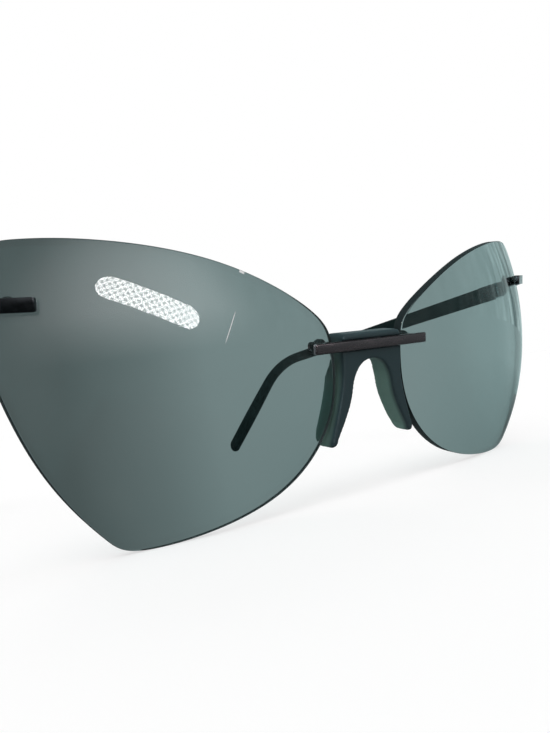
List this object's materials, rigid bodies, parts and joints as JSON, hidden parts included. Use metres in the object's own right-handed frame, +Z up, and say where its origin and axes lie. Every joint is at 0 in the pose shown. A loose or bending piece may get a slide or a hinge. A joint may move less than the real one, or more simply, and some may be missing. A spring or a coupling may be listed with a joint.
{
  "type": "rimless sunglasses",
  "caption": "Rimless wrap sunglasses with drilled cat-eye lenses, a bridge bar in a moulded nose saddle, and slim temples that fold on screwed hinges.",
  "frame": {"origin": "on the table that the lower rims and the temple tips stand on, under the middle of the bounding box", "axes": "+Z up from the table, +X toward the wearer's left, +Y toward the back of the head; the lenses face -Y"},
  "size_m": [0.136, 0.1486, 0.0505],
  "materials": {
    "tinted_lens": "gloss grey-green tint, smooth and see-through",
    "gunmetal": "satin gunmetal",
    "satin_steel": "satin steel",
    "soft_saddle": "smooth translucent grey-green moulding",
    "clear_bush": "clear gloss",
    "dark_washer": "dark satin",
    "dark_nut": "black gloss",
    "dark_coat": "satin green-black coat",
    "tip_rubber": "smooth satin green-black"
  },
  "bodies": {
    "front": {"left_lens": "tinted_lens", "right_lens": "tinted_lens", "bridge_bar": "gunmetal", "nose_saddle": "soft_saddle", "saddle_strap": "satin_steel", "bridge_bushes": "clear_bush", "bridge_washers": "dark_washer", "bridge_nuts": "dark_nut", "left_endpiece": "gunmetal", "right_endpiece": "gunmetal", "end_bushes": "clear_bush", "end_nuts": "dark_nut", "hinge_screws": "satin_steel", "hinge_washers": "satin_steel"},
    "left_temple": {"left_hinge_leaf": "gunmetal", "left_hinge_rivet": "satin_steel", "left_temple_arm": "dark_coat", "left_temple_tip": "tip_rubber"},
    "right_temple": {"right_hinge_leaf": "gunmetal", "right_hinge_rivet": "satin_steel", "right_temple_arm": "dark_coat", "right_temple_tip": "tip_rubber"}
  },
  "joints": [
    {"name": "left_temple_fold", "type": "hinge", "parent": "front", "child": "left_temple", "pos_m": [0.06643, -0.05561, 0.03929], "axis": [0, 0.0742, 0.9972], "range_deg": [0, 84]},
    {"name": "right_temple_fold", "type": "hinge", "parent": "front", "child": "right_temple", "pos_m": [-0.06643, -0.05561, 0.03929], "axis": [0, -0.0742, -0.9972], "range_deg": [0, 80]}
  ]
}
